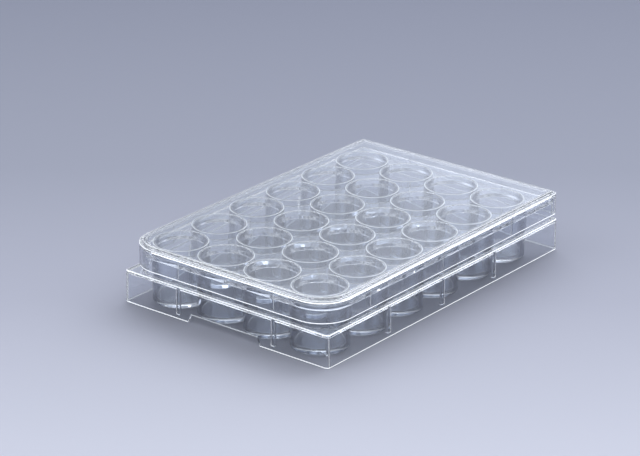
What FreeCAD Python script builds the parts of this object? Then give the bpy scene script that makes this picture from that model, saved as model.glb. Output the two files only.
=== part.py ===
import FreeCAD, Part
import math
import os
import re
import Sketcher

# A 24-well culture plate and its lid, in millimetres.
# Origin: centre of the footprint on the bench. +X runs along the plate, from the end with the
# round (keyed) corners to the end with the square ones; +Y runs across it; +Z is up.
# The lid is drawn with its lower edge at its own origin and is placed on the plate's upper wall.

SIZES = (
    ("base_length", 127.76, "footprint of the skirt along X, the standard microplate length"),
    ("base_width", 85.48, "footprint of the skirt along Y, the standard microplate width"),
    ("skirt_corner", 1.5, "outer radius of the skirt's four corners at the bench"),
    ("skirt_wall", 1.0, "wall of the skirt"),
    ("skirt_draft", 1.2, "lean of the skirt's faces from upright, in degrees"),
    ("ledge_height", 11.3, "top face of the ledge above the bench"),
    ("ledge_thickness", 1.2, "thickness of the ledge"),
    ("ledge_bevel", 0.3, "bevel along the ledge's outer edge"),
    ("lid_inset", 0.28, "lid's outer face in from the footprint, on each side"),
    ("lid_wall", 1.0, "side wall of the lid"),
    ("lid_clearance", 0.3, "gap between the lid's wall and the plate's upper wall"),
    ("wall_draft", 0.5, "lean of the upper wall and of the lid's wall, in degrees"),
    ("keyed_corner", 11.5, "outer radius of the lid's two round corners"),
    ("plain_corner", 2.0, "outer radius of the lid's two square corners"),
    ("upper_wall", 0.95, "thickness of the plate's wall above the ledge"),
    ("wall_height", 19.9, "top of the plate's upper wall, which carries the lid"),
    ("deck_drop", 1.6, "top face of the deck below the top of the upper wall"),
    ("deck_thickness", 1.1, "thickness of the deck that joins the wells"),
    ("well_columns", 6, "wells along X"),
    ("well_rows", 4, "wells along Y"),
    ("well_pitch", 19.4, "distance between well centres"),
    ("array_shift", 2.3, "centre of the wells from the plate's centre, towards the keyed end"),
    ("well_radius", 9.3, "outer radius of a well"),
    ("rim_rise", 0.3, "rims of the wells above the top of the upper wall"),
    ("well_wall", 1.1, "wall of a well"),
    ("well_clear", 0.8, "underside of a well above the bench"),
    ("well_floor", 1.6, "thickness of a well's floor"),
    ("notch_foot", 30.5, "width of the skirt's notch at the bench"),
    ("notch_head", 28.0, "width of the notch at its top"),
    ("notch_height", 3.0, "height of the notch"),
    ("pillar_radius", 0.87, "radius of the ejector pillars inside the skirt"),
    ("pillar_sink", 0.3, "depth to which a pillar is sunk in the skirt's wall"),
    ("pillar_clear", 1.2, "foot of a pillar above the bench"),
    ("side_pillars", 3, "pillars along each long side"),
    ("pillar_pitches", 1.5, "spacing of the side pillars, in well pitches"),
    ("end_spacing", 39.8, "distance between the two pillars, and the two guides, of an end"),
    ("ledge_gap", 1.9, "lid's lower edge above the ledge"),
    ("lid_top", 1.0, "thickness of the lid's top"),
    ("panel_inset", 1.4, "raised panel of the lid in from its outer face"),
    ("panel_rise", 0.8, "raised panel above the lid's shoulder"),
    ("lid_bevel", 0.35, "bevel along the lid's upper edges"),
    ("guide_radius", 0.6, "radius of the guide ribs inside the lid's wall"),
    ("guide_reach", 0.2, "reach of the guide ribs out of the wall, less than the clearance"),
    ("guide_clear", 0.6, "foot of the guide ribs above the lid's lower edge"),
    ("side_guides", 3, "guide ribs along each long side"),
    ("guide_pitches", 2, "spacing of the side guides, in well pitches"),
)

REFERENCES = {alias: f"Dimensions.{alias}" for alias, _, _ in SIZES}

# Lengths and heights that more than one feature shares, as formulas in the sheet's aliases.
LID_LENGTH = "(base_length - 2 * lid_inset)"
LID_WIDTH = "(base_width - 2 * lid_inset)"
WALL_INSET = "(lid_wall + lid_clearance)"
LEDGE_UNDER = "(ledge_height - ledge_thickness)"
DECK_UNDER = "(wall_height - deck_drop - deck_thickness)"
RIM_HEIGHT = "(wall_height + rim_rise)"
FLOOR_HEIGHT = "(well_clear + well_floor)"
LID_DEPTH = "(wall_height - ledge_height - ledge_gap)"
FIRST_COLUMN = "(0 - (well_columns - 1) / 2 * well_pitch - array_shift)"
FIRST_ROW = "(0 - (well_rows - 1) / 2 * well_pitch)"
PILLAR_INSET = "(skirt_wall - pillar_sink + pillar_radius)"
GUIDE_INSET = "(lid_inset + lid_wall - guide_radius + guide_reach)"
LEAST_CORNER = "0.25"
FLAT = 1e-4

doc = FreeCAD.newDocument("WellPlate")
sheet = doc.addObject("Spreadsheet::Sheet", "Dimensions")


def fill_sheet():
    """Writes each driving dimension, its alias and its meaning into the sheet."""
    for row, (alias, size, meaning) in enumerate(SIZES, start=1):
        sheet.set(f"A{row}", alias)
        sheet.set(f"B{row}", str(size))
        sheet.setAlias(f"B{row}", alias)
        sheet.set(f"C{row}", meaning)
    doc.recompute()


def bound(formula):
    """The formula with each alias written as a reference to the sheet."""
    return re.sub("[a-z_]+", lambda word: REFERENCES.get(word[0], word[0]), formula)


def number(formula):
    """The present value of a formula in the sheet's aliases."""
    result = sheet.evalExpression(bound(formula))
    return float(getattr(result, "Value", result))


def new_body(name):
    """A part-design body whose label is its node's name."""
    body = doc.addObject("PartDesign::Body", name)
    body.Label = name
    return body


def origin_item(body, role):
    """One of the body's own origin planes or axes."""
    return next(item for item in body.Origin.OriginFeatures if item.Role == role)


def new_sketch(body, name, role, out="0", along="0"):
    """A sketch on one of the body's origin planes, moved out of the plane and along it."""
    sketch = body.newObject("Sketcher::SketchObject", name)
    sketch.AttachmentSupport = [(origin_item(body, role), "")]
    sketch.MapMode = "FlatFace"
    sketch.setExpression("AttachmentOffset.Base.z", bound(out))
    sketch.setExpression("AttachmentOffset.Base.x", bound(along))
    doc.recompute()
    return sketch


def point(across, up):
    """A point of a sketch."""
    return FreeCAD.Vector(across, up, 0)


def circle_at(across, up, radius):
    """A circle of a sketch."""
    return Part.Circle(point(across, up), FreeCAD.Vector(0, 0, 1), radius)


def bind(sketch, kind, references, formula):
    """Adds a constraint whose size follows a formula in the sheet."""
    index = sketch.addConstraint(Sketcher.Constraint(kind, *references, number(formula)))
    sketch.renameConstraint(index, f"size_{index}")
    sketch.setExpression(f"Constraints.size_{index}", bound(formula))


def place(sketch, geometry, end, across, up):
    """Fixes a point of some geometry at a distance across and up from the sketch's origin."""
    for kind, formula, axis in (("DistanceX", across, -2), ("DistanceY", up, -1)):
        size = number(formula)
        if abs(size) < 1e-9:
            sketch.addConstraint(Sketcher.Constraint("PointOnObject", geometry, end, axis))
        elif size > 0:
            bind(sketch, kind, (-1, 1, geometry, end), formula)
        else:
            bind(sketch, kind, (geometry, end, -1, 1), f"0 - ({formula})")


def draw_outline(sketch, length, width, left_radius, right_radius):
    """A rectangle centred on the origin; the corners of its left end have their own radius."""
    half_length, half_width = number(length) / 2, number(width) / 2
    left, right = number(left_radius), number(right_radius)
    corners = (
        (half_length - right, right - half_width, right, -90),
        (half_length - right, half_width - right, right, 0),
        (left - half_length, half_width - left, left, 90),
        (left - half_length, left - half_width, left, 180),
    )
    arcs = []
    for across, up, radius, start in corners:
        arc = Part.ArcOfCircle(circle_at(across, up, radius),
                               math.radians(start), math.radians(start + 90))
        arcs.append(sketch.addGeometry(arc, False))
    sides = []
    for before, after in zip(arcs, arcs[1:] + arcs[:1]):
        line = Part.LineSegment(sketch.getPoint(before, 2), sketch.getPoint(after, 1))
        sides.append(sketch.addGeometry(line, False))
        sketch.addConstraint(Sketcher.Constraint("Tangent", sides[-1], 1, before, 2))
        sketch.addConstraint(Sketcher.Constraint("Tangent", sides[-1], 2, after, 1))
    right_side, top_side, left_side, bottom_side = sides
    for line in (right_side, left_side):
        sketch.addConstraint(Sketcher.Constraint("Vertical", line))
    for line in (top_side, bottom_side):
        sketch.addConstraint(Sketcher.Constraint("Horizontal", line))
    sketch.addConstraint(Sketcher.Constraint("Equal", arcs[0], arcs[1]))
    sketch.addConstraint(Sketcher.Constraint("Equal", arcs[2], arcs[3]))
    bind(sketch, "Radius", (arcs[0],), right_radius)
    bind(sketch, "Radius", (arcs[2],), left_radius)
    bind(sketch, "DistanceX", (-1, 1, right_side, 1), f"{length} / 2")
    bind(sketch, "DistanceX", (left_side, 1, -1, 1), f"{length} / 2")
    bind(sketch, "DistanceY", (-1, 1, top_side, 1), f"{width} / 2")
    bind(sketch, "DistanceY", (bottom_side, 1, -1, 1), f"{width} / 2")


def draw_profile(sketch, corners):
    """A closed outline of straight sides through corners, given as (across, up) formulas."""
    points = [point(number(across), number(up)) for across, up in corners]
    lines = [sketch.addGeometry(Part.LineSegment(start, end), False)
             for start, end in zip(points, points[1:] + points[:1])]
    for line, after in zip(lines, lines[1:] + lines[:1]):
        sketch.addConstraint(Sketcher.Constraint("Coincident", line, 2, after, 1))
    for line, (across, up) in zip(lines, corners):
        place(sketch, line, 1, across, up)


def keyed_sketch(body, name, height, inset):
    """The lid's outline, keyed corners and all, set in by an inset, at a height."""
    sketch = new_sketch(body, name, "XY_Plane", out=height)
    draw_outline(sketch, f"({LID_LENGTH} - 2 * {inset})", f"({LID_WIDTH} - 2 * {inset})",
                 f"max(keyed_corner - {inset}; {LEAST_CORNER})",
                 f"max(plain_corner - {inset}; {LEAST_CORNER})")
    return sketch


def skirt_sketch(body, name, inset):
    """The skirt's outline at the bench, set in by an inset."""
    sketch = new_sketch(body, name, "XY_Plane")
    corner = f"max(skirt_corner - {inset}; {LEAST_CORNER})"
    draw_outline(sketch, f"(base_length - 2 * {inset})", f"(base_width - 2 * {inset})",
                 corner, corner)
    return sketch


def round_sketch(body, name, height, across, up, radius):
    """A circle on a level plane at a height."""
    sketch = new_sketch(body, name, "XY_Plane", out=height)
    circle = sketch.addGeometry(circle_at(number(across), number(up), number(radius)), False)
    bind(sketch, "Radius", (circle,), radius)
    place(sketch, circle, 3, across, up)
    return sketch


def pad(body, name, sketch, length, lean="0"):
    """Pads a sketch upwards; its sides lean inwards."""
    feature = body.newObject("PartDesign::Pad", name)
    feature.Profile = sketch
    feature.setExpression("Length", bound(length))
    feature.setExpression("TaperAngle", bound(f"0 - {lean}"))
    doc.recompute()
    return feature


def cut(body, name, sketch, length, lean="0", upwards=True):
    """Cuts a sketch's outline out of the body and checks that material went."""
    before = body.Shape.Volume
    feature = body.newObject("PartDesign::Pocket", name)
    feature.Profile = sketch
    feature.Reversed = upwards
    feature.setExpression("Length", bound(length))
    feature.setExpression("TaperAngle", bound(f"0 - {lean}"))
    doc.recompute()
    if body.Shape.Volume >= before:
        raise RuntimeError(f"{name} cuts nothing")
    return feature


def repeat(body, name, feature, *runs):
    """Repeats a feature along one or two axes, each run given as (axis, count, spacing)."""
    pattern = body.newObject("PartDesign::LinearPattern", name)
    pattern.Originals = [feature]
    for suffix, (axis, count, spacing) in zip(("", "2"), runs):
        setattr(pattern, f"Direction{suffix}", (origin_item(body, axis), [""]))
        setattr(pattern, f"Mode{suffix}", "Extent")
        pattern.setExpression(f"Length{suffix}", bound(f"({count} - 1) * ({spacing})"))
        pattern.setExpression(f"Occurrences{suffix}", bound(count))
    body.Tip = pattern
    doc.recompute()
    return pattern


def lies_level(item, height):
    """Whether an edge or a face lies in the level plane at a height."""
    level = number(height)
    return abs(item.BoundBox.ZMin - level) < FLAT and abs(item.BoundBox.ZMax - level) < FLAT


def bevel_edges(body, name, height, size):
    """Bevels every edge that lies level at a height."""
    before = body.Tip
    edges = [f"Edge{index}" for index, edge in enumerate(before.Shape.Edges, start=1)
             if lies_level(edge, height)]
    feature = body.newObject("PartDesign::Chamfer", name)
    feature.Base = (before, edges)
    feature.setExpression("Size", bound(size))
    doc.recompute()
    return feature


def add_skirt_and_deck(plate):
    """Skirt, ledge, upper wall and deck: the plate without its wells."""
    inside = f"({WALL_INSET} + upper_wall)"
    pad(plate, "SkirtBlock", skirt_sketch(plate, "SkirtOutline", "0"), "ledge_height",
        lean="skirt_draft")
    bevel_edges(plate, "LedgeEdge", "ledge_height", "ledge_bevel")
    pad(plate, "UpperBlock", keyed_sketch(plate, "WallOutline", "ledge_height", WALL_INSET),
        "wall_height - ledge_height", lean="wall_draft")
    cut(plate, "SkirtHollow", skirt_sketch(plate, "SkirtInside", "skirt_wall"), LEDGE_UNDER,
        lean="skirt_draft")
    cut(plate, "DeckHollow", keyed_sketch(plate, "WallInside", "0", inside), DECK_UNDER)
    cut(plate, "DeckRecess", keyed_sketch(plate, "RecessOutline", "wall_height", inside),
        "deck_drop", upwards=False)


def add_notch(plate):
    """The notch with sloping ends in the lower edge of the skirt, at the keyed end."""
    sketch = new_sketch(plate, "NotchOutline", "YZ_Plane")
    draw_profile(sketch, (
        ("0 - notch_foot / 2", "0"),
        ("notch_foot / 2", "0"),
        ("notch_head / 2", "notch_height"),
        ("0 - notch_head / 2", "notch_height"),
    ))
    cut(plate, "Notch", sketch, "base_length", upwards=False)


def add_pillars(plate):
    """Ejector pillars against the inside of the skirt, from the ledge down."""
    height = f"{LEDGE_UNDER} - pillar_clear"
    near_side = f"0 - base_width / 2 + {PILLAR_INSET}"
    near_end = f"0 - base_length / 2 + {PILLAR_INSET}"
    first = "0 - array_shift - (side_pillars - 1) / 2 * pillar_pitches * well_pitch"
    outline = round_sketch(plate, "SidePillarOutline", "pillar_clear", first, near_side,
                           "pillar_radius")
    repeat(plate, "SidePillars", pad(plate, "SidePillar", outline, height),
           ("X_Axis", "side_pillars", "pillar_pitches * well_pitch"),
           ("Y_Axis", "2", f"base_width - 2 * {PILLAR_INSET}"))
    outline = round_sketch(plate, "EndPillarOutline", "pillar_clear", near_end,
                           "0 - end_spacing / 2", "pillar_radius")
    repeat(plate, "EndPillars", pad(plate, "EndPillar", outline, height),
           ("X_Axis", "2", f"base_length - 2 * {PILLAR_INSET}"),
           ("Y_Axis", "2", "end_spacing"))


def add_wells(plate):
    """A hole in the deck and a well's cup turned in it, each repeated over the array."""
    array = (("X_Axis", "well_columns", "well_pitch"), ("Y_Axis", "well_rows", "well_pitch"))
    outline = round_sketch(plate, "DeckHoleOutline", "0", FIRST_COLUMN, FIRST_ROW,
                           "well_radius - well_wall / 2")
    repeat(plate, "DeckHoles", cut(plate, "DeckHole", outline, RIM_HEIGHT), *array)
    profile = new_sketch(plate, "WellProfile", "XZ_Plane", out=f"0 - {FIRST_ROW}",
                         along=FIRST_COLUMN)
    draw_profile(profile, (
        ("0", "well_clear"),
        ("well_radius", "well_clear"),
        ("well_radius", RIM_HEIGHT),
        ("well_radius - well_wall", RIM_HEIGHT),
        ("well_radius - well_wall", FLOOR_HEIGHT),
        ("0", FLOOR_HEIGHT),
    ))
    cup = plate.newObject("PartDesign::Revolution", "Well")
    cup.Profile = profile
    cup.ReferenceAxis = (profile, ["V_Axis"])
    cup.Angle = 360
    doc.recompute()
    repeat(plate, "Wells", cup, *array)


def make_plate():
    """The plate: skirt, ledge, deck and wells in one moulding."""
    plate = new_body("plate")
    add_skirt_and_deck(plate)
    add_notch(plate)
    add_pillars(plate)
    add_wells(plate)
    return plate


def add_lid_shell(lid):
    """The lid's wall, shoulder and raised panel, hollow from below."""
    shoulder = f"({LID_DEPTH} + lid_top)"
    panel_inside = "(panel_inset + lid_wall)"
    pad(lid, "LidBlock", keyed_sketch(lid, "LidOutline", "0", "0"), shoulder, lean="wall_draft")
    bevel_edges(lid, "ShoulderEdge", shoulder, "lid_bevel")
    pad(lid, "LidPanel", keyed_sketch(lid, "PanelOutline", shoulder, "panel_inset"), "panel_rise")
    bevel_edges(lid, "PanelEdge", f"{shoulder} + panel_rise", "lid_bevel")
    cut(lid, "LidHollow", keyed_sketch(lid, "LidInside", "0", "lid_wall"), LID_DEPTH,
        lean="wall_draft")
    cut(lid, "PanelHollow", keyed_sketch(lid, "PanelInside", LID_DEPTH, panel_inside),
        "panel_rise")


def add_guides(lid):
    """Small round ribs inside the lid's wall, which centre it on the plate."""
    height = f"{LID_DEPTH} - guide_clear"
    near_side = f"0 - base_width / 2 + {GUIDE_INSET}"
    near_end = f"0 - base_length / 2 + {GUIDE_INSET}"
    first = "0 - array_shift - (side_guides - 1) / 2 * guide_pitches * well_pitch"
    outline = round_sketch(lid, "SideGuideOutline", "guide_clear", first, near_side,
                           "guide_radius")
    repeat(lid, "SideGuides", pad(lid, "SideGuide", outline, height),
           ("X_Axis", "side_guides", "guide_pitches * well_pitch"),
           ("Y_Axis", "2", f"base_width - 2 * {GUIDE_INSET}"))
    outline = round_sketch(lid, "EndGuideOutline", "guide_clear", near_end,
                           "0 - end_spacing / 2", "guide_radius")
    repeat(lid, "EndGuides", pad(lid, "EndGuide", outline, height),
           ("X_Axis", "2", f"base_length - 2 * {GUIDE_INSET}"),
           ("Y_Axis", "2", "end_spacing"))


def make_lid():
    """The lid: one moulding, placed with its shoulder on the plate's upper wall."""
    lid = new_body("lid")
    lid.setExpression("Placement.Base.z", bound("ledge_height + ledge_gap"))
    add_lid_shell(lid)
    add_guides(lid)
    return lid


def check(bodies):
    """Stops if a feature failed, a body isn't one sound solid or a well has no floor."""
    for item in doc.Objects:
        if {"Invalid", "Error"} & set(item.State):
            raise RuntimeError(f"{item.Label} failed: {item.State}")
    for body in bodies:
        if body.Shape.isNull() or not body.Shape.isValid() or len(body.Shape.Solids) != 1:
            raise RuntimeError(f"{body.Label} isn't one valid solid")
    floors = [face for face in bodies[0].Shape.Faces if lies_level(face, FLOOR_HEIGHT)]
    if len(floors) != round(number("well_columns * well_rows")):
        raise RuntimeError(f"{len(floors)} wells have a floor")


def export(bodies):
    """Writes each body's shape to a STEP file named after it."""
    os.makedirs("parts", exist_ok=True)
    for body in bodies:
        body.Shape.exportStep(os.path.join("parts", f"{body.Label}.step"))
        box = body.Shape.BoundBox
        print(f"{body.Label}: {body.Shape.Volume:.0f} mm3, {box.XLength:.2f} x {box.YLength:.2f}"
              f" x {box.ZLength:.2f} mm, foot at {box.ZMin:.2f} mm")


fill_sheet()
bodies = [make_plate(), make_lid()]
doc.recompute()
check(bodies)
export(bodies)
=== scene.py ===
"""A 24-well cell-culture plate with its lid on, in clear polystyrene, on a plain pale floor.

The plate and the lid are one moulding each. Both are walls that follow a rounded rectangle: a
chain of points, drawn as distance inwards and height, gives the section, and every point of it
becomes one ring of the rectangle. The wells are turned. All lengths are in metres; MM turns
millimetres into them.
"""

import logging
import math
from collections.abc import Callable, Sequence
from dataclasses import dataclass
from enum import Enum

import bmesh
import bpy
from mathutils import Matrix, Vector

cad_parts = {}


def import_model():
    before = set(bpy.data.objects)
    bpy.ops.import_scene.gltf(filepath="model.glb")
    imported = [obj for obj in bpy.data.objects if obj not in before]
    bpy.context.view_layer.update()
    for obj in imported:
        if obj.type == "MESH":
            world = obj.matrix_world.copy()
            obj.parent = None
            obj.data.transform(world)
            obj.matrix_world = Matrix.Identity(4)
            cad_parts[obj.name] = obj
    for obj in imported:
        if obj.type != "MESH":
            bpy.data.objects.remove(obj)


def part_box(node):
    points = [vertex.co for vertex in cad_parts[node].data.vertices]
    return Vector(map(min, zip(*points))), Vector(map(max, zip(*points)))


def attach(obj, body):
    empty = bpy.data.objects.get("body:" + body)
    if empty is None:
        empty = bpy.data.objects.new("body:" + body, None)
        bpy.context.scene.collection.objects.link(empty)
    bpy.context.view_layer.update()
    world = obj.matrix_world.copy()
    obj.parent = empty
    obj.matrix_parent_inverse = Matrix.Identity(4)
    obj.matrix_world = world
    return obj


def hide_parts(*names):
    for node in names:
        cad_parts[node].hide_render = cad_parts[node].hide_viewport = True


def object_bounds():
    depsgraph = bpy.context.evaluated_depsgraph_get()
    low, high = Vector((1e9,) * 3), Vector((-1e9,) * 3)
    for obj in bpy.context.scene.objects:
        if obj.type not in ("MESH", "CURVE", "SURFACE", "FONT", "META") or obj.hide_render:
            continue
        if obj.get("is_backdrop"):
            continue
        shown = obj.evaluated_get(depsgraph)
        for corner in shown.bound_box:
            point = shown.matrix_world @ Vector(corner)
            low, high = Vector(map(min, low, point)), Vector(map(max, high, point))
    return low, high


MM = 0.001
SAME_PLACE = 1e-6  # Points nearer than this are one.
RINGS_APART = 1.0  # Spacing of a wall's rings while they are joined.
UPRIGHT_LEAN = 0.35  # The most that an upright face's normal points up or down.
SHARP_ANGLE = math.radians(34)  # An edge that turns more than this is sharp.
LOG = logging.getLogger("well_plate")
Colour = tuple[float, float, float]


class End(Enum):
    """The two ends of the plate along X."""

    KEYED = -1
    SQUARE = 1


class Finish(Enum):
    """The finishes of a moulding's faces, as their material slots; two carry a painted glow, and
    the upright and turned ones a painted shade where seen edge-on.
    """

    POLISHED = 0
    # Rough rims and panel edges with a faint painted glow.
    SATIN_PAINTED_GLOW = 1
    # Rounded edges and bands with a bright painted glow.
    BRIGHT_PAINTED_GLOW = 2
    UPRIGHT = 3
    TURNED = 4


class Carving(Enum):
    """The ways to change one closed mesh by another."""

    ADD = "UNION"
    CUT = "DIFFERENCE"


@dataclass(frozen=True)
class Turn:
    """A point of a section and how far back its corner is rounded.

    Attributes:
        out: Distance from the outline inwards, or from a well's axis outwards.
        up: Height above the bench.
        rounding: Distance from the corner to where its round starts.
        finish: The finish of the round.
    """

    out: float
    up: float
    rounding: float = 0.0
    finish: Finish = Finish.POLISHED


def draw_chain(bm: bmesh.types.BMesh, turns: Sequence[Turn],
               steps: int) -> list[bmesh.types.BMVert]:
    """Draws an open chain in the XZ plane and rounds its corners.

    Args:
        bm: The mesh to draw in, empty so far.
        turns: The corners, from one end to the other.
        steps: Edges in each rounded corner.

    Returns:
        The chain's vertices, in order.
    """
    corners = [bm.verts.new((turn.out, 0.0, turn.up)) for turn in turns]
    for pair in zip(corners, corners[1:]):
        bm.edges.new(pair)
    for vert, turn in zip(corners, turns):
        if turn.rounding:
            bmesh.ops.bevel(bm, geom=[vert], offset=turn.rounding, offset_type="OFFSET",
                            affect="VERTICES", segments=steps, profile=0.5, material=-1)
    chain, used = [corners[0]], set()
    while True:
        onward = [edge for edge in chain[-1].link_edges if edge not in used]
        if not onward:
            return chain
        used.add(onward[0])
        chain.append(onward[0].other_vert(chain[-1]))


@dataclass(frozen=True)
class Outline:
    """A rectangle centred on the origin whose two ends have their own corner radius.

    Attributes:
        length: Extent along X.
        width: Extent along Y.
        keyed_radius: Corner radius at the keyed end.
        square_radius: Corner radius at the square end.
        least_radius: Radius that no corner goes below, however far in a ring lies.
        steps: Edges in each corner.
    """

    length: float
    width: float
    keyed_radius: float
    square_radius: float
    least_radius: float = 0.2 * MM
    steps: int = 14

    def ring(self, bm: bmesh.types.BMesh, inset: float,
             height: float) -> list[bmesh.types.BMEdge]:
        """Adds the outline, set in and at a height, as a closed ring of edges.

        Args:
            bm: The mesh to add it to.
            inset: Distance in from the outline.
            height: Height of the ring.

        Returns:
            The ring's edges.
        """
        size = Matrix.Diagonal((self.length - 2 * inset, self.width - 2 * inset, 1.0, 1.0))
        grid = bmesh.ops.create_grid(bm, x_segments=1, y_segments=1, size=0.5,
                                     matrix=Matrix.Translation((0, 0, height)) @ size)
        corners = grid["verts"]
        face = corners[0].link_faces[0]
        for end, radius in ((End.KEYED, self.keyed_radius), (End.SQUARE, self.square_radius)):
            here = [vert for vert in corners if vert.is_valid and vert.co.x * end.value > 0]
            least = max(radius - inset, self.least_radius)
            rounded = bmesh.ops.bevel(bm, geom=here, offset=least, offset_type="OFFSET",
                                      affect="VERTICES", segments=self.steps, profile=0.5,
                                      material=-1)
            face = rounded["verts"][0].link_faces[0]
            corners = [vert for vert in face.verts if vert.co.x * end.value < 0]
        edges = list(face.edges)
        bmesh.ops.delete(bm, geom=[face], context="FACES_ONLY")
        return edges


@dataclass(frozen=True)
class Station:
    """One ring of a wall.

    Attributes:
        outline: The outline that the ring follows.
        inset: How far it is set in.
        height: Its height.
        finish: The finish of the band from here to the next ring.
    """

    outline: Outline
    inset: float
    height: float
    finish: Finish


def stations(outline: Outline, turns: Sequence[Turn], steps: int) -> list[Station]:
    """Turns a section into the rings of a wall round an outline.

    A level band between two rounds of one finish has that finish too.

    Args:
        outline: The outline that the wall follows.
        turns: The section's corners.
        steps: Edges in each rounded corner.

    Returns:
        The rings, in the section's order.
    """
    bm = bmesh.new()
    chain = iter(draw_chain(bm, turns, steps))
    rings = []
    for turn, onward in zip(turns, [*turns[1:], turns[-1]]):
        bands = steps if turn.rounding else 0
        level = onward.finish is turn.finish and onward.up == turn.up
        for number, vert in zip(range(bands + 1), chain):
            finish = turn.finish if number < bands or level else Finish.POLISHED
            rings.append(Station(outline, vert.co.x, vert.co.z, finish))
    bm.free()
    return rings


def closed_wall(path: Sequence[Station]) -> bmesh.types.BMesh:
    """Joins rings into a wall and closes its first and last ring with a face.

    Args:
        path: The rings, in the order that the wall runs through them.

    Returns:
        The closed mesh.
    """
    bm = bmesh.new()
    rings = [stop.outline.ring(bm, stop.inset, level * RINGS_APART)
             for level, stop in enumerate(path)]
    for before, after, stop in zip(rings, rings[1:], path):
        for face in bmesh.ops.bridge_loops(bm, edges=before + after)["faces"]:
            face.material_index = stop.finish.value
    for ring, stop in zip(rings, path):
        for edge in ring:
            for vert in edge.verts:
                vert.co.z = stop.height
    for ring in (rings[0], rings[-1]):
        bmesh.ops.contextual_create(bm, geom=ring)
    bmesh.ops.recalc_face_normals(bm, faces=bm.faces)
    return bm


def dress_upright(bm: bmesh.types.BMesh, finish: Finish) -> None:
    """Gives the polished faces that stand upright another finish.

    Args:
        bm: The mesh.
        finish: The finish that they get.
    """
    bm.normal_update()
    for face in bm.faces:
        if face.material_index == Finish.POLISHED.value and abs(face.normal.z) < UPRIGHT_LEAN:
            face.material_index = finish.value


def join(parts: Sequence[bmesh.types.BMesh]) -> bmesh.types.BMesh:
    """Puts several meshes together.

    Args:
        parts: The meshes, all but the first of which are freed.

    Returns:
        The first mesh, which holds them all.
    """
    whole, *others = parts
    for part in others:
        mesh = bpy.data.meshes.new("part")
        part.to_mesh(mesh)
        part.free()
        whole.from_mesh(mesh)
        bpy.data.meshes.remove(mesh)
    return whole


def new_object(bm: bmesh.types.BMesh, name: str) -> bpy.types.Object:
    """Turns a mesh into an object of the scene, at the origin.

    Args:
        bm: The mesh, which is freed.
        name: The object's name.

    Returns:
        The object.
    """
    mesh = bpy.data.meshes.new(name)
    bm.to_mesh(mesh)
    bm.free()
    piece = bpy.data.objects.new(name, mesh)
    bpy.context.scene.collection.objects.link(piece)
    return piece


def carve(body: bmesh.types.BMesh, tool: bmesh.types.BMesh,
          carving: Carving) -> bmesh.types.BMesh:
    """Adds one closed mesh to another, or cuts it out.

    Args:
        body: The mesh that is changed, and freed.
        tool: The mesh that it is changed by, and freed.
        carving: Whether the tool is added or cut out.

    Returns:
        The changed mesh.
    """
    target, other = new_object(body, "carve_body"), new_object(tool, "carve_tool")
    for item in (target, other):
        for _ in Finish:
            item.data.materials.append(None)
    boolean = target.modifiers.new("carve", "BOOLEAN")
    boolean.operation = carving.value
    boolean.object = other
    boolean.solver = "EXACT"
    boolean.use_self = carving is Carving.ADD
    bpy.context.view_layer.update()
    carved = bmesh.new()
    carved.from_object(target, bpy.context.evaluated_depsgraph_get())
    for item in (target, other):
        mesh = item.data
        bpy.data.objects.remove(item)
        bpy.data.meshes.remove(mesh)
    return carved


def level_faces(bm: bmesh.types.BMesh, height: float) -> list[bmesh.types.BMFace]:
    """Finds the faces that lie level at a height."""
    return [face for face in bm.faces
            if all(abs(vert.co.z - height) < SAME_PLACE for vert in face.verts)]


def finish_mesh(bm: bmesh.types.BMesh, name: str) -> bpy.types.Object:
    """Closes a moulding's seams, smooths its rounds and makes it a piece.

    Args:
        bm: The moulding, which is freed.
        name: The piece's name.

    Returns:
        The piece.
    """
    bmesh.ops.remove_doubles(bm, verts=bm.verts, dist=2 * SAME_PLACE)
    bmesh.ops.recalc_face_normals(bm, faces=bm.faces)
    dress_upright(bm, Finish.UPRIGHT)
    for face in bm.faces:
        face.smooth = True
    open_edges = sum(not edge.is_manifold for edge in bm.edges)
    LOG.info("%s: %d faces, %d open edges, %.0f mm3", name, len(bm.faces), open_edges,
             bm.calc_volume(signed=True) / MM ** 3)
    piece = new_object(bm, name)
    piece.data.set_sharp_from_angle(angle=SHARP_ANGLE)
    weighted = piece.modifiers.new("flat_faces_stay_flat", "WEIGHTED_NORMAL")
    weighted.keep_sharp = True
    return piece


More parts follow.
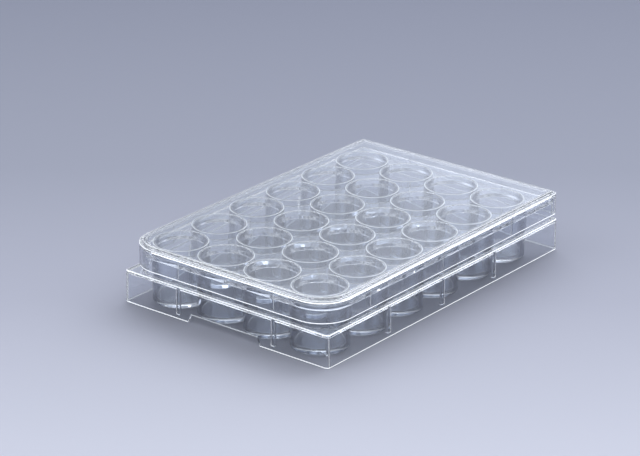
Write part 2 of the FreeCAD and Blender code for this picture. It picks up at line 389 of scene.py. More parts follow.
@dataclass(frozen=True)
class ClearPlastic:
    """Crystal polystyrene: polished, very slightly wavy from the mould. Some finishes add a
    painted glow, or a painted shade where seen edge-on.

    Attributes:
        name: The material's name.
        tint: What the plastic lets through.
        straight: What a lamp's light keeps where it meets a surface square on.
        slanted: What it keeps where it only grazes the surface.
        slant_span: Where the loss starts and ends, from 0 square on to 1 edge-on.
        ior: Index of refraction.
        roughness: Roughness of the polished surface.
        clarity: Share of the light that passes through; the rest is scattered.
        glow: Strength of a painted glow: emission that stands in for light led inside the plastic
            to this surface.
        inner_glow: Share of the painted glow that the surface shows from inside the plastic.
        edge_on_painted_shade: Painted shade: the colour that the surface darkens to where it is
            seen edge-on, or None for the tint.
        edge_span: Where that starts and ends, from 0 square on to 1 edge-on.
        wave: Size of the moulding's waves.
        wave_height: Height of the waves.
    """

    name: str
    tint: Colour
    straight: Colour = (0.94, 0.95, 0.96)
    slanted: Colour = (0.30, 0.31, 0.33)
    slant_span: tuple[float, float] = (0.0, 1.0)
    ior: float = 1.59
    roughness: float = 0.0
    clarity: float = 1.0
    glow: float = 0.0
    inner_glow: float = 0.25
    edge_on_painted_shade: Colour | None = None
    edge_span: tuple[float, float] = (0.5, 1.0)
    wave: float = 9 * MM
    wave_height: float = 0.002 * MM

    def build(self) -> bpy.types.Material:
        """Builds the plastic's nodes.

        Returns:
            The material.
        """
        material = bpy.data.materials.new(self.name)
        material.use_nodes = True
        nodes, links = material.node_tree.nodes, material.node_tree.links
        plastic = nodes["Principled BSDF"]
        plastic.inputs["Base Color"].default_value = (*self.tint, 1.0)
        plastic.inputs["Transmission Weight"].default_value = self.clarity
        plastic.inputs["IOR"].default_value = self.ior
        plastic.inputs["Roughness"].default_value = self.roughness
        plastic.inputs["Emission Color"].default_value = (*self.tint, 1.0)
        # Painted glow: emission stands in for light that the plastic would lead to this surface,
        # weaker on its inner side.
        if self.glow:
            side = nodes.new("ShaderNodeNewGeometry")
            light = nodes.new("ShaderNodeMapRange")
            light.inputs["To Min"].default_value = self.glow
            light.inputs["To Max"].default_value = self.glow * self.inner_glow
            links.new(side.outputs["Backfacing"], light.inputs["Value"])
            links.new(light.outputs["Result"], plastic.inputs["Emission Strength"])
        place = nodes.new("ShaderNodeTexCoord")
        waves = nodes.new("ShaderNodeTexNoise")
        waves.inputs["Scale"].default_value = 1.0 / self.wave
        waves.inputs["Detail"].default_value = 2.0
        links.new(place.outputs["Object"], waves.inputs["Vector"])
        bump = nodes.new("ShaderNodeBump")
        bump.inputs["Strength"].default_value = 1.0
        bump.inputs["Distance"].default_value = self.wave_height
        links.new(waves.outputs["Fac"], bump.inputs["Height"])
        links.new(bump.outputs["Normal"], plastic.inputs["Normal"])
        # Painted shade: the base colour darkens towards the edge-on colour where the surface is
        # seen edge-on.
        if self.edge_on_painted_shade:
            tint = self.by_slant(material.node_tree, self.tint, self.edge_on_painted_shade, self.edge_span)
            links.new(tint, plastic.inputs["Base Color"])
        kept = self.by_slant(material.node_tree, self.straight, self.slanted, self.slant_span)
        surface = plastic.outputs["BSDF"]
        rays = nodes.new("ShaderNodeLightPath")
        for ray in ("Is Shadow Ray", "Is Diffuse Ray"):
            clear = nodes.new("ShaderNodeBsdfTransparent")
            links.new(kept, clear.inputs["Color"])
            mix = nodes.new("ShaderNodeMixShader")
            links.new(rays.outputs[ray], mix.inputs["Fac"])
            links.new(surface, mix.inputs[1])
            links.new(clear.outputs["BSDF"], mix.inputs[2])
            surface = mix.outputs["Shader"]
        links.new(surface, nodes["Material Output"].inputs["Surface"])
        return material

    @staticmethod
    def by_slant(tree: bpy.types.NodeTree, straight: Colour, slanted: Colour,
                 span: tuple[float, float]) -> bpy.types.NodeSocket:
        """Makes a colour that turns into another as the surface slants away.

        Args:
            tree: The material's nodes.
            straight: The colour square on.
            slanted: The colour edge-on.
            span: Where the change starts and ends, from 0 square on to 1 edge-on.

        Returns:
            The colour's socket.
        """
        slant = tree.nodes.new("ShaderNodeLayerWeight")
        slant.inputs["Blend"].default_value = 0.5
        change = tree.nodes.new("ShaderNodeMapRange")
        change.interpolation_type = "SMOOTHSTEP"
        change.inputs["From Min"].default_value, change.inputs["From Max"].default_value = span
        tree.links.new(slant.outputs["Facing"], change.inputs["Value"])
        colour = tree.nodes.new("ShaderNodeMix")
        colour.data_type = "RGBA"
        colour.inputs[6].default_value = (*straight, 1.0)
        colour.inputs[7].default_value = (*slanted, 1.0)
        tree.links.new(change.outputs["Result"], colour.inputs["Factor"])
        return colour.outputs[2]


@dataclass(frozen=True)
class PalePaper:
    """The seamless paper under the plate, which darkens away from the viewer.

    Attributes:
        heading: Direction of the view over the floor, in radians from +X.
        tones: Distance along the view, and the paper's colour there, nearest first.
    """

    heading: float
    tones: tuple[tuple[float, Colour], ...] = (
        (-132 * MM, (0.72, 0.735, 0.845)),
        (-22 * MM, (0.52, 0.533, 0.636)),
        (100 * MM, (0.385, 0.401, 0.488)),
        (311 * MM, (0.285, 0.300, 0.376)),
        (900 * MM, (0.24, 0.258, 0.326)))

    def build(self) -> bpy.types.Material:
        """Builds the paper's nodes.

        Returns:
            The material.
        """
        material = bpy.data.materials.new("pale_paper")
        material.use_nodes = True
        nodes, links = material.node_tree.nodes, material.node_tree.links
        paper = nodes["Principled BSDF"]
        paper.inputs["Roughness"].default_value = 0.9
        paper.inputs["Specular IOR Level"].default_value = 0.0
        place = nodes.new("ShaderNodeTexCoord")
        along = nodes.new("ShaderNodeVectorMath")
        along.operation = "DOT_PRODUCT"
        along.inputs[1].default_value = (math.cos(self.heading), math.sin(self.heading), 0.0)
        links.new(place.outputs["Object"], along.inputs[0])
        start, stop = self.tones[0][0], self.tones[-1][0]
        share = nodes.new("ShaderNodeMapRange")
        share.inputs["From Min"].default_value = start
        share.inputs["From Max"].default_value = stop
        links.new(along.outputs["Value"], share.inputs["Value"])
        ramp = nodes.new("ShaderNodeValToRGB")
        marks = ramp.color_ramp.elements
        for number, (distance, colour) in enumerate(self.tones):
            where = (distance - start) / (stop - start)
            mark = marks[0] if number == 0 else marks.new(where)
            mark.position = where
            mark.color = (*colour, 1.0)
        marks.remove(marks[-1])
        links.new(share.outputs["Result"], ramp.inputs["Fac"])
        links.new(ramp.outputs["Color"], paper.inputs["Base Color"])
        return material


@dataclass(frozen=True)
class WellArray:
    """Where the wells stand: a grid moved towards the keyed end.

    Attributes:
        columns: Wells along X.
        rows: Wells along Y.
        pitch: Distance between the middles of neighbours.
        shift: How far the grid's middle lies from the plate's.
    """

    columns: int = 6
    rows: int = 4
    pitch: float = 19.4 * MM
    shift: float = 2.3 * MM

    def centres(self) -> list[tuple[float, float]]:
        """Gives each well's centre."""
        return [((column - (self.columns - 1) / 2) * self.pitch - self.shift,
                 (row - (self.rows - 1) / 2) * self.pitch)
                for column in range(self.columns) for row in range(self.rows)]


@dataclass(frozen=True)
class Rods:
    """Upright rods along the inside of a wall, such as ejector pillars or guide ribs.

    Attributes:
        radius: Radius of a rod.
        sink: How far a rod is sunk into the wall.
        clear: Height of its foot above the wall's.
        foot_round: Rounding of its foot.
        around: Faces round it.
        pitches: Distance between the rods of a long side, in pitches of the wells.
        side_count: Rods at each long side.
        end_spacing: Distance between the two rods at each end.
        steps: Edges in a foot's round.
    """

    radius: float
    sink: float
    clear: float
    foot_round: float
    around: int
    pitches: float
    side_count: int = 3
    end_spacing: float = 39.8 * MM
    steps: int = 3

    def centres(self, length: float, width: float, array: WellArray) -> list[tuple[float, float]]:
        """Places the rods.

        Args:
            length: Extent of the wall's inside along X.
            width: Extent of the wall's inside along Y.
            array: Where the wells stand.

        Returns:
            Each rod's centre.
        """
        inset = self.radius - self.sink
        side, end = width / 2 - inset, length / 2 - inset
        along = [(number - (self.side_count - 1) / 2) * self.pitches * array.pitch - array.shift
                 for number in range(self.side_count)]
        return ([(x, sign * side) for x in along for sign in (-1, 1)]
                + [(sign_x * end, sign_y * self.end_spacing / 2)
                   for sign_x in (-1, 1) for sign_y in (-1, 1)])

    def build(self, centres: Sequence[tuple[float, float]], low: float,
              head: float) -> bmesh.types.BMesh:
        """Makes the rods.

        Args:
            centres: Each rod's centre.
            low: Height of the wall's foot.
            head: Height of the rods' upper ends.

        Returns:
            One mesh of them all.
        """
        return join([self.rod(centre, low + self.clear, head) for centre in centres])

    def rod(self, centre: tuple[float, float], foot: float, head: float) -> bmesh.types.BMesh:
        """Makes one rod with a rounded foot.

        Args:
            centre: The rod's place across the bench.
            foot: Height of its lower end.
            head: Height of its upper end.

        Returns:
            The rod's mesh.
        """
        bm = bmesh.new()
        bmesh.ops.create_cone(bm, cap_ends=True, segments=self.around, radius1=self.radius,
                              radius2=self.radius, depth=head - foot,
                              matrix=Matrix.Translation((*centre, (head + foot) / 2)))
        low = [edge for edge in bm.edges
               if all(vert.co.z < foot + SAME_PLACE for vert in edge.verts)]
        bmesh.ops.bevel(bm, geom=low, offset=self.foot_round, offset_type="OFFSET",
                        affect="EDGES", segments=self.steps, profile=0.5, material=-1)
        dress_upright(bm, Finish.TURNED)
        return bm


@dataclass(frozen=True)
class Plate:
    """The plate: a stepped skirt, a wall, and a deck with its wells, in one moulding.

    Attributes:
        length: Extent of the skirt's foot along X.
        width: Extent of the skirt's foot along Y.
        rim_height: Height of the wells' rims.
        array: Where the wells stand.
        skirt_corner: Corner radius of the skirt.
        skirt_wall: Thickness of the skirt.
        skirt_lean: How far the skirt leans in for each unit of height.
        skirt_run: How far the ledge's lower face is drawn on past the skirt.
        ledge_height: Height of the ledge's upper face.
        ledge_thickness: Thickness of the ledge.
        ledge_round: Rounding of the ledge's outer edge.
        ledge_run: How far its upper face is drawn on past that round.
        edge_round: Rounding of the skirt's foot.
        inner_round: Rounding of the inside corners.
        lid_inset: Distance from the skirt's footprint in to the lid's.
        wall_inset: Distance from the lid's footprint in to the upper wall.
        wall_thickness: Thickness of the upper wall.
        wall_lean: How far the upper wall leans in for each unit of height.
        wall_run: How far ledge and deck are drawn on past the upper wall.
        crest_round: Rounding of the upper wall's top.
        keyed_corner: The lid's corner radius at the keyed end.
        plain_corner: The lid's corner radius at the square end.
        rim_rise: How far the rims stand above the upper wall.
        deck_drop: How far the deck lies below the upper wall's top.
        deck_thickness: Thickness of the deck.
        well_radius: Outer radius of a well.
        well_round: Rounding between a well and the deck.
        well_run: How far the deck is drawn on past that round.
        well_clear: Height of the wells' feet above the bench.
        well_floor: Thickness of a well's floor.
        rim_wall: Thickness of a well's wall at its rim.
        foot_wall: Thickness of a well's wall at its floor.
        rim_round: Rounding of a rim's edges.
        rim_band: Width of a rim's satin band, which has a faint painted glow.
        floor_round: Rounding inside a well's floor.
        foot_round: Rounding under a well's foot.
        foot_crest: Height of the band round a foot that has a bright painted glow.
        notch_foot: Width of the notch at the bench.
        notch_head: Width of the notch at its roof.
        notch_height: Height of the notch.
        notch_reach: How far the cut reaches to either side of the end.
        notch_round: Rounding of the notch's roof.
        pillars: The ejector pillars inside the skirt.
        around: Faces round a well.
        steps: Edges in each rounded corner of a section.
    """

    length: float
    width: float
    rim_height: float
    array: WellArray = WellArray()
    skirt_corner: float = 1.5 * MM
    skirt_wall: float = 1.0 * MM
    skirt_lean: float = math.tan(math.radians(1.2))
    skirt_run: float = 0.5 * MM
    ledge_height: float = 11.3 * MM
    ledge_thickness: float = 1.2 * MM
    ledge_round: float = 0.22 * MM
    ledge_run: float = 0.1 * MM
    edge_round: float = 0.45 * MM
    inner_round: float = 0.25 * MM
    lid_inset: float = 0.28 * MM
    wall_inset: float = 1.3 * MM
    wall_thickness: float = 0.95 * MM
    wall_lean: float = math.tan(math.radians(0.5))
    wall_run: float = 0.4 * MM
    crest_round: float = 0.4 * MM
    keyed_corner: float = 11.5 * MM
    plain_corner: float = 2.0 * MM
    rim_rise: float = 0.3 * MM
    deck_drop: float = 1.6 * MM
    deck_thickness: float = 1.1 * MM
    well_radius: float = 9.3 * MM
    well_round: float = 0.08 * MM
    well_run: float = 0.02 * MM
    well_clear: float = 0.8 * MM
    well_floor: float = 1.6 * MM
    rim_wall: float = 0.9 * MM
    foot_wall: float = 1.3 * MM
    rim_round: float = 0.12 * MM
    rim_band: float = 0.28 * MM
    floor_round: float = 0.35 * MM
    foot_round: float = 0.4 * MM
    foot_crest: float = 0.12 * MM
    notch_foot: float = 30.5 * MM
    notch_head: float = 28.0 * MM
    notch_height: float = 3.0 * MM
    notch_reach: float = 4.0 * MM
    notch_round: float = 0.3 * MM
    pillars: Rods = Rods(radius=0.87 * MM, sink=0.3 * MM, clear=1.2 * MM, foot_round=0.2 * MM,
                         around=24, pitches=1.5)
    around: int = 80
    steps: int = 4

    @property
    def wall_height(self) -> float:
        """Height of the upper wall's top, which carries the lid."""
        return self.rim_height - self.rim_rise

    @property
    def deck_top(self) -> float:
        """Height of the deck's upper face."""
        return self.wall_height - self.deck_drop

    @property
    def deck_under(self) -> float:
        """Height of the deck's lower face."""
        return self.deck_top - self.deck_thickness

    @property
    def ledge_under(self) -> float:
        """Height of the ledge's lower face."""
        return self.ledge_height - self.ledge_thickness

    def skirt_outline(self) -> Outline:
        """The skirt's footprint."""
        return Outline(self.length, self.width, self.skirt_corner, self.skirt_corner)

    def keyed_outline(self) -> Outline:
        """The lid's footprint, which the upper wall follows too."""
        return Outline(self.length - 2 * self.lid_inset, self.width - 2 * self.lid_inset,
                       self.keyed_corner, self.plain_corner)

    def skirt_turns(self) -> list[Turn]:
        """Draws the skirt's section.

        Returns:
            Its corners, from the ledge's lower face round to its upper one.
        """
        top = self.ledge_height * self.skirt_lean
        under = self.skirt_wall + self.ledge_under * self.skirt_lean
        return [Turn(under + self.skirt_run, self.ledge_under),
                Turn(under, self.ledge_under, self.inner_round),
                Turn(self.skirt_wall, 0.0, self.edge_round),
                # The skirt's foot and the ledge's outer edge have a bright painted glow.
                Turn(0.0, 0.0, self.edge_round, Finish.BRIGHT_PAINTED_GLOW),
                Turn(top, self.ledge_height, self.ledge_round, Finish.BRIGHT_PAINTED_GLOW),
                Turn(top + self.ledge_round + self.ledge_run, self.ledge_height)]

    def wall_turns(self) -> list[Turn]:
        """Draws the upper wall's section.

        Returns:
            Its corners, from the ledge over its top to the deck's upper face.
        """
        outer, inner = self.wall_inset, self.wall_inset + self.wall_thickness
        top = outer + (self.wall_height - self.ledge_height) * self.wall_lean
        return [Turn(outer - self.wall_run, self.ledge_height),
                Turn(outer, self.ledge_height, self.inner_round),
                Turn(top, self.wall_height, self.crest_round),
                Turn(inner, self.wall_height, self.crest_round),
                Turn(inner, self.deck_top, self.inner_round),
                Turn(inner + self.wall_run, self.deck_top)]

    def under_turns(self) -> list[Turn]:
        """Draws the section under the deck.

        Returns:
            Its corners, from the deck's lower face down to the ledge's lower one.
        """
        inner = self.wall_inset + self.wall_thickness
        return [Turn(inner + self.wall_run, self.deck_under),
                Turn(inner, self.deck_under, self.inner_round),
                Turn(inner, self.ledge_under, self.inner_round),
                Turn(inner - self.wall_run, self.ledge_under)]

    def cup_turns(self) -> list[Turn]:
        """Draws a well's section above the deck.

        Returns:
            Its corners, from the deck up over the rim and down to the floor's middle.
        """
        return [Turn(self.well_radius + self.well_round + self.well_run, self.deck_top),
                Turn(self.well_radius, self.deck_top, self.well_round),
                Turn(self.well_radius, self.rim_height, self.rim_round),
                Turn(self.well_radius - self.rim_band, self.rim_height),
                Turn(self.well_radius - self.rim_wall, self.rim_height, self.rim_round),
                Turn(self.well_radius - self.foot_wall, self.well_clear + self.well_floor,
                     self.floor_round),
                Turn(0.0, self.well_clear + self.well_floor)]

    def foot_turns(self) -> list[Turn]:
        """Draws a well's section below the deck.

        Returns:
            Its corners, from the deck down its outside and in to the foot's middle.
        """
        return [Turn(self.well_radius + self.well_round + self.well_run, self.deck_under),
                Turn(self.well_radius, self.deck_under, self.well_round),
                Turn(self.well_radius, self.well_clear, self.foot_round),
                Turn(0.0, self.well_clear)]

    def shell(self) -> bmesh.types.BMesh:
        """Makes the skirt, the ledge, the upper wall and the deck.

        Returns:
            A closed mesh, still without wells.
        """
        skirt, keyed = self.skirt_outline(), self.keyed_outline()
        return closed_wall(stations(keyed, self.under_turns(), self.steps)
                           + stations(skirt, self.skirt_turns(), self.steps)
                           + stations(keyed, self.wall_turns(), self.steps))

    def notch_tool(self) -> bmesh.types.BMesh:
        """Makes the block that cuts the notch with its sloping ends.

        Returns:
            A closed mesh.
        """
        bm = bmesh.new()
        bmesh.ops.create_cube(bm, size=1.0)
        slope = (self.notch_foot - self.notch_head) / self.notch_height
        for vert in bm.verts:
            along = vert.co.x * 2 * self.notch_reach - self.length / 2
            height = math.copysign(self.notch_height, vert.co.z)
            width = self.notch_foot - slope * height
            vert.co = Vector((along, vert.co.y * width, height))
        return bm

    def ease_notch(self, shell: bmesh.types.BMesh) -> None:
        """Rounds the notch's long upper edges and gives them and the roof a bright painted glow.

        Args:
            shell: The mesh with its notch.
        """
        roof = level_faces(shell, self.notch_height)
        edges = list(dict.fromkeys(edge for face in roof for edge in face.edges
                                   if abs(edge.verts[0].co.x - edge.verts[1].co.x) < SAME_PLACE
                                   and edge.calc_length() > self.notch_head / 2))
        eased = bmesh.ops.bevel(shell, geom=edges, offset=self.notch_round,
                                offset_type="OFFSET", affect="EDGES", segments=self.steps,
                                profile=0.5, material=-1)
        # The notch's roof and its rounds get a bright painted glow.
        for face in eased["faces"] + level_faces(shell, self.notch_height):
            face.material_index = Finish.BRIGHT_PAINTED_GLOW.value
        LOG.info("notch: %d roof faces, %d edges rounded", len(roof), len(edges))

    def add_pillars(self, shell: bmesh.types.BMesh) -> bmesh.types.BMesh:
        """Adds the ejector pillars, which run up into the ledge.

        Args:
            shell: The mesh with its notch, which is freed.

        Returns:
            The mesh with its pillars.
        """
        centres = self.pillars.centres(self.length - 2 * self.skirt_wall,
                                       self.width - 2 * self.skirt_wall, self.array)
        head = self.ledge_height - self.ledge_thickness / 2
        return carve(shell, self.pillars.build(centres, 0.0, head), Carving.ADD)

    def turned(self, turns: Sequence[Turn]) -> bmesh.types.BMesh:
        """Turns a section round a well's axis, with a satin rim and a foot band that have a
        painted glow.

        Args:
            turns: The section's corners.

        Returns:
            One well's mesh, open at the deck.
        """
        bm = bmesh.new()
        draw_chain(bm, turns, self.steps)
        bmesh.ops.spin(bm, geom=bm.verts[:] + bm.edges[:], cent=(0, 0, 0), axis=(0, 0, 1),
                       dvec=(0, 0, 0), angle=math.tau, steps=self.around, use_merge=True,
                       use_duplicate=False)
        bmesh.ops.remove_doubles(bm, verts=bm.verts, dist=SAME_PLACE)
        # The rim's crest gets a faint painted glow, the band above the foot a bright painted
        # glow.
        for face in bm.faces:
            place = face.calc_center_median()
            rim = (place.z > self.rim_height - self.rim_round
                   and place.xy.length > self.well_radius - self.rim_band)
            if rim:
                face.material_index = Finish.SATIN_PAINTED_GLOW.value
            elif self.well_clear < place.z < self.well_clear + self.foot_crest:
                face.material_index = Finish.BRIGHT_PAINTED_GLOW.value
        dress_upright(bm, Finish.TURNED)
        return bm

    def wells(self, turns: Sequence[Turn]) -> bmesh.types.BMesh:
        """Repeats a turned section over the array.

        Args:
            turns: The section's corners.

        Returns:
            All the wells, in one mesh.
        """
        one = self.turned(turns)
        every = bmesh.new()
        mesh = bpy.data.meshes.new("well")
        one.to_mesh(mesh)
        one.free()
        for x, y in self.array.centres():
            count = len(every.verts)
            every.from_mesh(mesh)
            every.verts.ensure_lookup_table()
            bmesh.ops.translate(every, verts=every.verts[count:], vec=(x, y, 0))
        bpy.data.meshes.remove(mesh)
        return every

    def build(self) -> bpy.types.Object:
        """Builds the plate and reports it.

        Returns:
            The finished piece.
        """
        shell = carve(self.shell(), self.notch_tool(), Carving.CUT)
        self.ease_notch(shell)
        shell = self.add_pillars(shell)
        for height in (self.deck_top, self.deck_under):
            deck = max(level_faces(shell, height), key=lambda face: face.calc_area())
            bmesh.ops.delete(shell, geom=[deck], context="FACES_ONLY")
        whole = join([shell, self.wells(self.cup_turns()), self.wells(self.foot_turns())])
        for height in (self.deck_top, self.deck_under):
            rims = [edge for edge in whole.edges if edge.is_boundary
                    and all(abs(vert.co.z - height) < SAME_PLACE for vert in edge.verts)]
            bmesh.ops.triangle_fill(whole, edges=rims, use_beauty=True, use_dissolve=False,
                                    normal=(0, 0, 1))
        return finish_mesh(whole, "culture_plate")


@dataclass(frozen=True)
class Lid:
    """The lid: a wall, a shoulder and a raised panel in one moulding.

    Attributes:
        length: Extent of the wall's lower edge along X.
        width: Extent of the wall's lower edge along Y.
        low: Height of the wall's lower edge.
        high: Height of the raised panel.
        array: Where the wells under it stand.
        keyed_corner: Corner radius at the keyed end.
        plain_corner: Corner radius at the square end.
        wall: Thickness of the wall.
        lean: How far the wall leans in for each unit of height.
        thickness: Thickness of the top.
        panel_inset: Distance from the lid's footprint in to the raised panel.
        panel_rise: How far the panel stands above the shoulder.
        panel_run: How far the panel is drawn on past its edge.
        outer_round: Rounding of the shoulder's outer edge.
        panel_round: Rounding of the panel's edge.
        inner_round: Rounding of the inside corners.
        edge_round: Rounding of the wall's lower edge.
        guides: The guide ribs inside the wall.
        steps: Edges in each rounded corner of the section.
    """

    length: float
    width: float
    low: float
    high: float
    array: WellArray = WellArray()
    keyed_corner: float = 11.5 * MM
    plain_corner: float = 2.0 * MM
    wall: float = 1.0 * MM
    lean: float = math.tan(math.radians(0.5))
    thickness: float = 1.0 * MM
    panel_inset: float = 1.4 * MM
    panel_rise: float = 0.8 * MM
    panel_run: float = 0.5 * MM
    outer_round: float = 0.12 * MM
    panel_round: float = 0.18 * MM
    inner_round: float = 0.2 * MM
    edge_round: float = 0.45 * MM
    guides: Rods = Rods(radius=0.6 * MM, sink=1.0 * MM, clear=0.6 * MM, foot_round=0.15 * MM,
                        around=20, pitches=2.0)
    steps: int = 4

    @property
    def shoulder(self) -> float:
        """Height of the shoulder round the raised panel."""
        return self.high - self.panel_rise

    @property
    def seat(self) -> float:
        """Height of the lid's underside, which lies on the plate's wall."""
        return self.shoulder - self.thickness

    def turns(self) -> list[Turn]:
        """Draws the lid's section.

        Returns:
            Its corners, from the panel's upper face round to its lower one.
        """
        inside = self.panel_inset + self.wall
        top = (self.shoulder - self.low) * self.lean
        inner = self.wall + (self.seat - self.low) * self.lean
        # The panel's edge has a faint painted glow; the shoulder's outer edge and the wall's foot
        # a bright painted glow.
        return [Turn(self.panel_inset + self.panel_run, self.high),
                Turn(self.panel_inset, self.high, self.panel_round, Finish.SATIN_PAINTED_GLOW),
                Turn(self.panel_inset, self.shoulder, self.inner_round),
                Turn(top, self.shoulder, self.outer_round, Finish.BRIGHT_PAINTED_GLOW),
                Turn(0.0, self.low, self.edge_round, Finish.BRIGHT_PAINTED_GLOW),
                Turn(self.wall, self.low, self.edge_round),
                Turn(inner, self.seat, self.inner_round),
                Turn(inside, self.seat, self.inner_round),
                Turn(inside, self.seat + self.panel_rise, self.inner_round),
                Turn(inside + self.panel_run, self.seat + self.panel_rise)]

    def build(self) -> bpy.types.Object:
        """Builds the lid and reports it.

        Returns:
            The finished piece.
        """
        outline = Outline(self.length, self.width, self.keyed_corner, self.plain_corner)
        shell = closed_wall(stations(outline, self.turns(), self.steps))
        centres = self.guides.centres(self.length - 2 * self.wall, self.width - 2 * self.wall,
                                      self.array)
        guides = self.guides.build(centres, self.low, self.seat + self.thickness / 2)
        return finish_mesh(carve(shell, guides, Carving.ADD), "stacking_lid")


def direction(azimuth: float, elevation: float) -> Vector:
    """Gives the unit vector at an angle over the floor, from +X, and one above the floor."""
    return Vector((math.cos(elevation) * math.cos(azimuth),
                   math.cos(elevation) * math.sin(azimuth), math.sin(elevation)))


def facing(azimuth: float, elevation: float) -> Matrix:
    """Gives the turn of a camera or a lamp that looks back from a direction."""
    return (-direction(azimuth, elevation)).to_track_quat("-Z", "Y").to_matrix().to_4x4()


@dataclass(frozen=True)
class Viewpoint:
    """The camera: where it stands, and where it looks.

    Attributes:
        azimuth: Direction from the plate to the camera over the floor, from +X.
        elevation: Height of that direction above the floor.
        roll: Turn of the picture about the line of sight.
        place: Where the camera stands.
        lens: Focal length in millimetres.
        sensor: Width of the sensor in millimetres.
    """

    azimuth: float = math.radians(-141.557)
    elevation: float = math.radians(21.954)
    roll: float = math.radians(0.237)
    place: tuple[float, float, float] = (-672.50 * MM, -522.52 * MM, 360.12 * MM)
    lens: float = 153.99
    sensor: float = 36.0

    def heading(self) -> float:
        """Direction of the view over the floor, in radians from +X."""
        return self.azimuth + math.pi

    def build(self) -> None:
        """Adds the camera and makes it the scene's own."""
        data = bpy.data.cameras.new("camera")
        data.lens = self.lens
        data.sensor_width = self.sensor
        data.clip_start = 0.01
        camera = bpy.data.objects.new("camera", data)
        turn = facing(self.azimuth, self.elevation) @ Matrix.Rotation(self.roll, 4, "Z")
        camera.matrix_world = Matrix.Translation(self.place) @ turn
        bpy.context.scene.collection.objects.link(camera)
        bpy.context.scene.camera = camera


@dataclass(frozen=True)
class Softbox:
    """A rectangular lamp that faces a point above the plate.

    Attributes:
        name: The lamp's name.
        azimuth: Its direction over the floor, from +X.
        elevation: Its direction above the floor.
        distance: Its distance from the point that it faces.
        width: Its extent across.
        height: Its extent upwards.
        watts: Its power.
        colour: The light's colour.
        aim: The point that it faces.
        fade: Growth of its strength across the whole face and up it, or None if even.
        fade_from: The place, as shares of the face, where its strength is fade_level.
        fade_level: Its strength there.
        fade_range: Its least and its greatest strength.
    """

    name: str
    azimuth: float
    elevation: float
    distance: float
    width: float
    height: float
    watts: float
    colour: Colour = (0.93, 0.96, 1.0)
    aim: tuple[float, float, float] = (0.0, 0.0, 10 * MM)
    fade: tuple[float, float] | None = None
    fade_from: tuple[float, float] = (0.0, 0.0)
    fade_level: float = 0.0
    fade_range: tuple[float, float] = (0.6, 1.4)

    def build(self) -> None:
        """Adds the lamp."""
        data = bpy.data.lights.new(self.name, "AREA")
        data.shape = "RECTANGLE"
        data.size, data.size_y = self.width, self.height
        data.energy = self.watts
        data.color = self.colour
        if self.fade:
            self.graduate(data)
        lamp = bpy.data.objects.new(self.name, data)
        place = Vector(self.aim) + direction(self.azimuth, self.elevation) * self.distance
        lamp.matrix_world = Matrix.Translation(place) @ facing(self.azimuth, self.elevation)
        bpy.context.scene.collection.objects.link(lamp)

    def graduate(self, data: bpy.types.AreaLight) -> None:
        """Makes the lamp's strength change over its face.

        Args:
            data: The lamp.
        """
        data.use_nodes = True
        nodes, links = data.node_tree.nodes, data.node_tree.links
        place = nodes.new("ShaderNodeNewGeometry")
        along = nodes.new("ShaderNodeVectorMath")
        along.operation = "DOT_PRODUCT"
        along.inputs[1].default_value = (*self.fade, 0.0)
        strength = nodes.new("ShaderNodeMath")
        strength.operation = "ADD"
        offset = sum(rate * share for rate, share in zip(self.fade, self.fade_from))
        strength.inputs[1].default_value = self.fade_level - offset
        clamp = nodes.new("ShaderNodeClamp")
        clamp.inputs["Min"].default_value, clamp.inputs["Max"].default_value = self.fade_range
        links.new(place.outputs["Parametric"], along.inputs[0])
        links.new(along.outputs["Value"], strength.inputs[0])
        links.new(strength.outputs["Value"], clamp.inputs["Value"])
        links.new(clamp.outputs["Result"], nodes["Emission"].inputs["Strength"])


@dataclass(frozen=True)
class Studio:
    """The floor, the lamps and the light that fills the room.

    Attributes:
        view: The camera, which the floor's tones and the lamps follow.
        floor_size: Extent of the floor.
    """

    view: Viewpoint
    floor_size: float = 6.0

    def floor(self) -> None:
        """Adds the floor."""
        bm = bmesh.new()
        bmesh.ops.create_grid(bm, x_segments=1, y_segments=1, size=self.floor_size / 2)
        floor = new_object(bm, "floor")
        floor.data.materials.append(PalePaper(self.view.heading()).build())
        floor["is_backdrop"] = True

    def lamps(self) -> None:
        """Adds two large boxes above, one at each side and a wide panel low behind the plate."""
        back = self.view.heading()
        boxes = [Softbox("key_box", azimuth=back - math.radians(15), elevation=math.radians(44),
                         distance=1.8, width=2.4, height=1.1, watts=26.5)]
        boxes += [Softbox(name, azimuth=back + turn, elevation=math.radians(31), distance=1.7,
                          width=1.8, height=1.0, watts=6.2, fade=(0.0, 2.5),
                          fade_range=(0.0, 1.3))
                  for name, turn in (("left_box", math.radians(95)),
                                     ("right_box", math.radians(-85)))]
        boxes += [Softbox("top_box", azimuth=back + math.pi, elevation=math.radians(78),
                          distance=1.3, width=2.0, height=2.0, watts=8.5),
                  Softbox("back_box", azimuth=back, elevation=math.radians(16), distance=1.7,
                          width=3.0, height=0.8, watts=6.5, colour=(0.80, 0.86, 1.0),
                          fade=(-8.0, 1.2), fade_from=(0.5, 0.711), fade_level=1.14)]
        for box in boxes:
            box.build()

    def room(self) -> None:
        """Sets the room's own light."""
        world = bpy.data.worlds.new("room")
        world.use_nodes = True
        room = world.node_tree.nodes["Background"]
        room.inputs["Color"].default_value = (0.9, 0.93, 1.0, 1.0)
        room.inputs["Strength"].default_value = 0.05
        bpy.context.scene.world = world

    def build(self) -> None:
        """Sets the whole studio up."""
        self.floor()
        self.lamps()
        self.room()


def let_light_through(scene: bpy.types.Scene) -> None:
    """Lets light pass as many surfaces as a plate under its lid has.

    Args:
        scene: The scene that is drawn.
    """
    scene.view_settings.view_transform = "Standard"
    cycles = scene.cycles
    cycles.max_bounces = 160
    cycles.transmission_bounces = 64
    cycles.glossy_bounces = 128
    cycles.transparent_max_bounces = 64
    cycles.caustics_refractive = False
    cycles.caustics_reflective = False


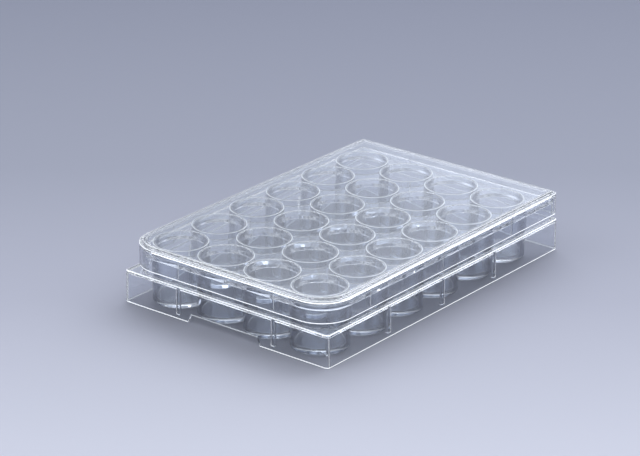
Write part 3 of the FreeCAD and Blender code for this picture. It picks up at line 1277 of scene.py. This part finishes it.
def place_piece(piece: bpy.types.Object, node: str,
                finishes: Sequence[ClearPlastic]) -> None:
    """Dresses a piece and puts it in its node's stead.

    Args:
        piece: The finished piece.
        node: The node that it stands for.
        finishes: Its finishes, in the order of Finish.
    """
    for finish in finishes:
        piece.data.materials.append(finish.build())
    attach(piece, "root")
    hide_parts(node)
    LOG.info("%s stands for %s", piece.name, node)


def finishes_of(slot: str) -> list[ClearPlastic]:
    """Gives the finishes of a moulding.

    Args:
        slot: The slot that the materials are named after.

    Returns:
        The finishes, in the order of Finish.
    """
    # The dark colour is a painted shade for upright walls and wells seen edge-on.
    tint, pale, painted_edge_shade = (0.98, 0.99, 1.0), (0.92, 0.96, 1.0), (0.15, 0.16, 0.20)
    return [ClearPlastic(slot, tint, straight=(0.97, 0.98, 0.99), slanted=(0.40, 0.41, 0.43)),
            # The satin and edge finishes are rough plastic with a painted glow: emission in place
            # of light the plastic would lead there.
            ClearPlastic(slot + "_satin_painted_glow", pale, roughness=0.5, clarity=0.2, glow=0.2),
            ClearPlastic(slot + "_edge", pale, roughness=0.4, clarity=0.2, glow=0.95),
            ClearPlastic(slot + "_wall", (0.95, 0.965, 0.985), straight=(1.0, 1.0, 1.0),
                         slanted=(0.5, 0.5, 0.5), edge_on_painted_shade=painted_edge_shade, edge_span=(0.45, 0.9)),
            ClearPlastic(slot + "_well", (0.92, 0.94, 0.97), straight=(0.94, 0.95, 0.96),
                         slanted=(0.12, 0.12, 0.12), slant_span=(0.0, 0.9), edge_on_painted_shade=painted_edge_shade,
                         edge_span=(0.22, 0.62))]


def corners_of(bounds: Callable[[], object]) -> list[list[float]]:
    """The present box of the model, as plain lists."""
    return [[float(value) for value in corner] for corner in bounds()]


def main() -> None:
    """Builds the studio, the plate and the lid."""
    logging.basicConfig(level=logging.INFO, format="%(message)s")
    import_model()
    cad_box = corners_of(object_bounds)
    let_light_through(bpy.context.scene)
    view = Viewpoint()
    view.build()
    Studio(view).build()

    low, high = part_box("plate")
    plate = Plate(length=high.x - low.x, width=high.y - low.y, rim_height=high.z)
    place_piece(plate.build(), "plate", finishes_of("plate_polystyrene"))

    low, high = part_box("lid")
    lid = Lid(length=high.x - low.x, width=high.y - low.y, low=low.z, high=high.z)
    place_piece(lid.build(), "lid", finishes_of("lid_polystyrene"))

    {"cad": cad_box, "visual": corners_of(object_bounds)}


if __name__ == "__main__":
    main()
